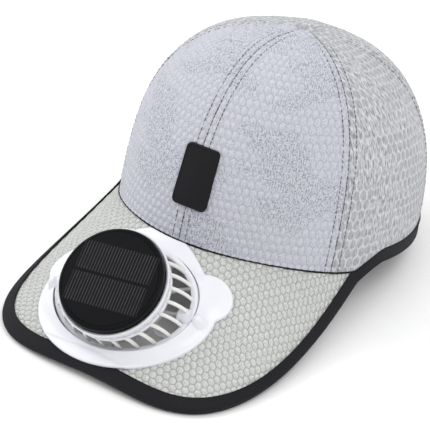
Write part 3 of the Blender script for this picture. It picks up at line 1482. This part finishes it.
    def clamp(self) -> bpy.types.Object:
        """Rounded ring under the brim."""
        form = self.form
        turn = np.arange(self.steps // 2) * TURN / (self.steps // 2)
        grow = self.skirt_wall + GAP
        corners = ((0.0, 0.5), (0.0, 0.05), (0.06, 0.0), (0.94, 0.0), (1.0, 0.06), (1.0, 0.75), (0.9, 1.0), (0.1, 1.0), (0.0, 0.9))
        ring = []
        for wide, deep in corners:
            plan = self.opening(turn, grow + self.clamp_width * wide)
            drop = form.brim_thickness + 2 * GAP + self.clamp_thickness * deep
            level = self.brim_level(plan[:, 0], plan[:, 1], -drop)
            ring.append(np.column_stack([plan, level]))
        rings = moved(np.stack(ring, 1), form.seat_world())
        piece = loft("clamp_ring_shell", rings, self.finishes["white_shell"], True, sharp=40)
        return self.hang(piece, Body.CAP, "white_plastic", "clamp_ring")

    def build(self) -> None:
        """Build the frame and its ring."""
        self.flange()
        self.clamp()


@dataclass
class FanHead(Dresser):
    """Cage, housing, solar panel, motor and guard, about the tilting line."""

    collar_radius: float = 0.0316
    collar_width: float = 0.0035
    collar_top: float = 0.0135
    rim_width: float = 0.0038
    running_gap: float = 0.0006
    rib_count: int = 24
    rib_width: float = 0.0021
    housing_height: float = 0.0075
    housing_lip: float = 0.0012
    housing_radius: float = 0.0330
    panel_radius: float = 0.0310
    panel_thickness: float = 0.0053
    panel_round: float = 0.0013
    groove_share: float = 0.935
    groove_depth: float = 0.00035
    groove_width: float = 0.0007
    motor_radius: float = 0.0105
    motor_height: float = 0.0080
    shaft_radius: float = 0.0010
    shaft_length: float = 0.0060
    boss_radius: float = 0.0046
    boss_length: float = 0.0078
    pin_radius: float = 0.0015
    pin_reach: float = 0.0030
    guard_depth: float = 0.0078
    guard_wall: float = 0.0014
    guard_hub: float = 0.0095
    spoke_count: int = 12
    blade_radius: float = 0.0265

    def __post_init__(self) -> None:
        """Work out the heights that follow from the sizes."""
        self.world = self.form.head_world()
        self.centre = Vector((0, self.form.pivot_forward, 0))
        self.rim_half = self.form.cage_rim / 2
        self.housing_low = self.collar_top + GAP
        self.housing_top = self.housing_low + self.housing_height
        self.floor = self.housing_top - self.housing_lip

    def oval(self, turn: np.ndarray, inset: float, z: float) -> np.ndarray:
        """Point of the oval rim."""
        form = self.form
        grow = -self.running_gap - inset
        x = (form.opening_half_width + grow) * np.cos(turn)
        y = (form.opening_half_length + grow) * np.sin(turn) + form.pivot_forward
        return np.stack([x, y, np.full_like(x, z)], -1)

    def circle(self, turn: np.ndarray, radius: float, z: float) -> np.ndarray:
        """Point of a circle round the fan's own line."""
        return np.stack([
            radius * np.cos(turn), radius * np.sin(turn) + self.form.pivot_forward, np.full_like(turn, z),
        ], -1)

    def ring(self, name: str, outline: Sequence[tuple[float, float]], at: Callable) -> bpy.types.Object:
        """Sweep an outline of inset and height round the fan."""
        turn = np.arange(168) * TURN / 168
        ring = np.stack([at(turn, inset, z) for inset, z in outline], 1)
        return loft(name, moved(ring, self.world), self.finishes["white_shell"], True, sharp=40)

    def box_outline(self, low: float, high: float, bottom: float, top: float, radius: float) -> list:
        """Closed rounded rectangle."""
        mid = (low + high) / 2
        corners = [(mid, bottom), (high, bottom), (high, top), (low, top), (low, bottom), (mid, bottom)]
        return rounded(corners, radius)[:-1]

    def ribs(self) -> list[bpy.types.Object]:
        """Curved ribs from the collar out and down to the oval rim."""
        made = []
        for i in range(self.rib_count):
            turn = np.array([TURN * i / self.rib_count])
            collar = self.circle(turn, self.collar_radius - 0.0009, self.collar_top - 0.0006)[0]
            foot = self.oval(turn, self.rim_width * 0.75, 0.0)[0]
            bend = np.linspace(0, math.pi / 2, 14)
            path = collar + (foot - collar) * np.sin(bend)[:, None]
            path[:, 2] = foot[2] + (collar[2] - foot[2]) * np.cos(bend)
            middle = np.array([0, self.form.pivot_forward, 0.004])
            up = unit(path - middle)
            depth = 0.0021 - 0.0006 * np.sin(bend)
            rings = moved(strip(path, up, self.rib_width, depth), self.world)
            made.append(loft(f"rib_{i}", rings, self.finishes["white_cage"], sharp=60))
        return made

    def cage(self) -> bpy.types.Object:
        """Collar, ribs, oval rim, bosses, pins and the small stud on the collar's front."""
        form, half = self.form, self.rim_half
        collar = self.box_outline(
            -self.collar_radius, -self.collar_radius + self.collar_width,
            self.collar_top - 0.0024, self.collar_top, 0.0007,
        )
        parts = [
            self.ring("collar", collar, lambda t, inset, z: self.circle(t, -inset, z)),
            self.ring("rim", self.box_outline(0.0, self.rim_width, -half, half, 0.0009), self.oval),
        ]
        parts += self.ribs()
        inside = form.opening_half_length - self.running_gap
        end = (form.opening_half_width - self.running_gap) * math.sqrt(
            1 - ((form.pivot_forward + self.boss_radius) / inside) ** 2
        )
        for side in (-1, 1):
            arc = np.linspace(0, math.pi, 17)
            outline = np.column_stack([np.cos(arc), np.sin(arc)]) * self.boss_radius
            outline = np.concatenate([outline, [[-self.boss_radius, -half], [self.boss_radius, -half]]])
            rings = []
            for x, scale in ((end - self.boss_length, 0.86), (end - self.boss_length + 0.0006, 1.0), (end, 1.0)):
                rings.append(np.column_stack([np.full(len(outline), side * x), outline * scale]))
            boss = moved(np.array(rings), self.world)
            parts.append(loft(f"boss_{side}", boss, self.finishes["white_shell"], sharp=40))
            start, stop = end - 0.002, form.opening_half_width + self.pin_reach
            path = np.array([[side * start, 0, 0], [side * stop, 0, 0]], float)
            turns = np.arange(20) * TURN / 20
            pin = path[:, None] + np.column_stack([
                np.zeros(20), np.cos(turns) * self.pin_radius, np.sin(turns) * self.pin_radius,
            ])[None]
            parts.append(loft(f"pin_{side}", moved(pin, self.world), self.finishes["white_shell"]))
        piece = merged("fan_cage_shell", parts)
        return self.hang(piece, Body.FAN, "white_plastic", "fan_cage")

    def housing(self) -> bpy.types.Object:
        """Shallow bowl with a rolled lip round the panel."""
        low, top, radius = self.housing_low, self.housing_top, self.housing_radius
        outline = rounded([
            (0.0, low), (self.collar_radius - 0.0010, low), (radius - 0.0009, low + 0.0026),
            (radius - 0.0002, top - 0.0016), (radius, top), (self.panel_radius + 2 * GAP, top),
            (self.panel_radius + GAP, self.floor), (0.0, self.floor),
        ], 0.0009, 4)
        piece = turned("fan_housing_shell", outline, self.centre, self.world, self.finishes["white_shell"], 144)
        return self.hang(piece, Body.FAN, "white_plastic", "fan_housing")

    def panel(self) -> bpy.types.Object:
        """Round solar panel with a softened edge; its lengths are its own X and Y."""
        low = self.floor + GAP
        top = low + self.panel_thickness
        bend = np.linspace(0, math.pi / 2, 9)
        outline = [(0.0, low), (self.panel_radius - 0.0003, low), (self.panel_radius, low + 0.0003)]
        outline += [
            (self.panel_radius - self.panel_round * (1 - math.cos(b)), top - self.panel_round * (1 - math.sin(b)))
            for b in bend
        ]
        ring = self.panel_radius * self.groove_share
        dip, slope = self.groove_depth, self.groove_depth * 0.8
        outline += [
            (ring + slope, top), (ring, top - dip), (ring - self.groove_width, top - dip),
            (ring - self.groove_width - slope, top),
        ]
        outline += [(self.panel_radius * share, top) for share in (0.6, 0.3)] + [(0.0, top)]
        piece = turned(
            "solar_panel_face", outline, self.centre, self.world, self.finishes["solar_cells"], 144, True, 30,
        )
        return self.hang(piece, Body.FAN, "solar_cell", "solar_panel")

    def motor(self) -> bpy.types.Object:
        """Motor can with a stepped nose, and its shaft."""
        top, radius = self.collar_top, self.motor_radius
        low = top - self.motor_height
        outline = rounded([
            (0.0, top), (radius, top), (radius, low + 0.0006), (radius - 0.0008, low), (0.0045, low),
            (0.0040, low - 0.0005), (self.shaft_radius, low - 0.0005),
            (self.shaft_radius, low - self.shaft_length), (0.0, low - self.shaft_length),
        ], 0.0004, 3)
        piece = turned("motor_can_turned", outline, self.centre, self.world, self.finishes["motor_can"], 64)
        return self.hang(piece, Body.FAN, "motor_metal", "motor")

    def guard(self) -> bpy.types.Object:
        """Dished grille of rounded spokes and rings under the blades."""
        top = -self.rim_half - GAP
        floor = top - self.guard_depth + self.guard_wall
        middle = (self.guard_hub + self.collar_radius) / 2
        half = self.guard_wall / 2
        rim = self.box_outline(0.0, self.rim_width, top - self.guard_wall, top, 0.0005)
        parts = [self.ring("guard_rim", rim, self.oval)]
        band = self.box_outline(-middle - 0.0009, -middle + 0.0009, floor - self.guard_wall, floor, 0.0005)
        parts.append(self.ring("guard_band", band, lambda t, inset, z: self.circle(t, -inset, z)))
        for i in range(self.spoke_count):
            turn = np.array([TURN * i / self.spoke_count])
            knots = np.array([
                self.circle(turn, self.guard_hub * 0.9, floor - half)[0],
                self.circle(turn, middle, floor - half)[0],
                self.circle(turn, self.blade_radius + 0.002, floor * 0.8 + top * 0.2 - half)[0],
                self.oval(turn, self.rim_width * 0.7, top - half)[0],
            ])
            share = np.linspace(0, 3, 16)
            path = np.stack([np.interp(share, range(4), knots[:, k]) for k in range(3)], -1)
            up = np.broadcast_to(np.array([0.0, 0.0, 1.0]), path.shape)
            rings = moved(strip(path, up, self.rib_width, self.guard_wall * 0.95), self.world)
            parts.append(loft(f"spoke_{i}", rings, self.finishes["white_shell"], sharp=60))
        low, high = floor - self.guard_wall, floor
        hub = rounded([(0.0, low), (self.guard_hub, low), (self.guard_hub, high), (0.0, high)], 0.0005)
        parts.append(turned("guard_hub", hub, self.centre, self.world, self.finishes["white_shell"], 64))
        return self.hang(merged("fan_guard_shell", parts), Body.FAN, "white_plastic", "fan_guard")

    def build(self) -> None:
        """Build the whole head."""
        self.cage()
        self.housing()
        self.panel()
        self.motor()
        self.guard()


@dataclass
class Impeller(Dresser):
    """Hub and swept blades on the motor's shaft."""

    hub_radius: float = 0.0120
    hub_height: float = 0.0066
    low: float = -0.0045
    blades: int = 7
    blade_radius: float = 0.0265
    thickness: float = 0.0011
    sweep: float = math.radians(30)
    height: float = 0.0125
    reach_table: tuple[float, ...] = (0.0, 0.22, 0.60, 1.0)
    low_table: tuple[float, ...] = (0.10, 0.00, 0.02, 0.08)
    high_table: tuple[float, ...] = (0.42, 0.80, 1.00, 0.96)

    def blade(self, index: int, matrix: Matrix) -> bpy.types.Object:
        """One thin curved blade."""
        root = self.hub_radius * 0.88
        reach = np.linspace(0, 1, 20)[:, None]
        across = np.linspace(0, 1, 12)[None]
        low = np.interp(reach, self.reach_table, self.low_table)
        high = np.interp(reach, self.reach_table, self.high_table)
        radius = np.broadcast_to(root + (self.blade_radius - root) * reach, (20, 12))
        z = self.low + self.height * (high + (low - high) * across)
        grids = []
        for side in (1, -1):
            thin = 1 - 0.55 * np.abs(across * 2 - 1) ** 3
            turn = TURN * index / self.blades + self.sweep * across + side * self.thickness * thin / 2 / radius
            grids.append(np.stack([radius * np.cos(turn), radius * np.sin(turn), z], -1))
        uv = np.stack(np.broadcast_arrays(radius, across * 0.012), -1)
        outer, inner = (moved(grid, matrix) for grid in grids)
        return shell(f"blade_{index}", outer, inner, uv, self.finishes["white_rotor"])

    def build(self) -> None:
        """Build the hub and the blades."""
        form = self.form
        matrix = form.head_world() @ Matrix.Translation((0, form.pivot_forward, 0))
        top = self.low + self.hub_height
        bore = 0.0013
        outline = rounded([
            (0.0, self.low + 0.0024), (bore, self.low + 0.0024), (bore, top), (self.hub_radius * 0.9, top),
            (self.hub_radius, top - 0.0012), (self.hub_radius, self.low), (0.0, self.low),
        ], 0.0006)
        parts = [turned("rotor_hub", outline, Vector(), matrix, self.finishes["white_rotor"], 72)]
        parts += [self.blade(index, matrix) for index in range(self.blades)]
        self.hang(merged("impeller_shell", parts), Body.ROTOR, "white_plastic", "impeller")


@dataclass
class Studio:
    """Pale floor, soft light and the camera."""

    form: CapForm
    azimuth: float = math.radians(35.75)
    elevation: float = math.radians(33.39)
    roll: float = math.radians(1.20)
    distance: float = 1.606
    aim_back: float = 0.0854
    aim_height: float = 0.0641
    aim_right: float = 0.01274
    aim_down: float = 0.00414
    lens: float = 237.2

    def touch_y(self) -> float:
        """Where the brim's edge touches the floor."""
        points = [vertex.co for vertex in frame["nodes"]["brim_binding"].data.vertices]
        return min(points, key=lambda point: point.z).y

    def camera(self) -> None:
        """Place the camera at the photograph's angle."""
        sin_a, cos_a = math.sin(self.azimuth), math.cos(self.azimuth)
        sin_e, cos_e = math.sin(self.elevation), math.cos(self.elevation)
        back = Vector((sin_a * cos_e, -cos_a * cos_e, sin_e))
        right = Vector((cos_a, sin_a, 0.0))
        up = back.cross(right)
        target = Vector((0.0, self.touch_y() + self.aim_back, self.aim_height))
        eye = target + back * self.distance
        aim = target + right * self.aim_right - up * self.aim_down
        look = (eye - aim).normalized()
        side = up.cross(look).normalized()
        axes = Matrix((side, look.cross(side), look)).transposed()
        data = bpy.data.cameras.new("camera")
        data.lens, data.sensor_width = self.lens, 36.0
        data.clip_start, data.clip_end = 0.05, 20.0
        camera = bpy.data.objects.new("camera", data)
        turn = Matrix.Rotation(self.roll, 4, "Z")
        camera.matrix_world = Matrix.Translation(eye) @ axes.to_4x4() @ turn
        bpy.context.scene.collection.objects.link(camera)
        bpy.context.scene.camera = camera

    def area(self, name: str, place: tuple, size: float, power: float, colour: tuple = (1, 1, 1)) -> None:
        """Add a square area light aimed at the hat."""
        data = bpy.data.lights.new(name, "AREA")
        data.energy, data.size, data.color = power, size, colour
        light = bpy.data.objects.new(name, data)
        light.location = place
        light.rotation_euler = (Vector((0, 0, 0.05)) - Vector(place)).to_track_quat("-Z", "Y").to_euler()
        bpy.context.scene.collection.objects.link(light)

    def build(self) -> None:
        """Build the floor, lights, world and camera."""
        floor_paint = Paint("floor_card")
        grain = floor_paint.noise(0.02, 2.0)
        floor_paint.set(Base_Color=floor_paint.mix(grain, (0.93, 0.93, 0.93), (0.95, 0.95, 0.95)), Roughness=0.9)
        corners = np.array([(-6, -6, 0), (6, -6, 0), (6, 6, 0), (-6, 6, 0)], float)
        floor = make_piece("floor", corners, [(0, 1, 2, 3)], floor_paint.material)
        floor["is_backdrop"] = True
        world = bpy.data.worlds.new("studio")
        world.use_nodes = True
        background = world.node_tree.nodes["Background"]
        background.inputs["Color"].default_value = (1.0, 1.0, 1.0, 1.0)
        background.inputs["Strength"].default_value = 0.90
        bpy.context.scene.world = world
        self.area("key", (-1.25, -0.15, 1.05), 0.9, 9.5)
        self.area("fill", (1.05, -0.30, 1.55), 0.9, 7.8)
        self.area("back", (0.35, 1.2, 1.3), 0.9, 4.0)
        bpy.context.scene.view_settings.view_transform = "Standard"
        self.camera()


def main() -> None:
    """Build the hat, its light and its camera."""
    form = CapForm()
    finishes = Finishes()
    for part in (Crown, Peak, Edging, Label, FanSeat, FanHead, Impeller):
        part(form, finishes).build()
    Studio(form).build()
    bounds = {"cad": [list(corner) for corner in CAD_BOX], "visual": [list(corner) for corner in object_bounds()]}


if __name__ == "__main__":
    main()
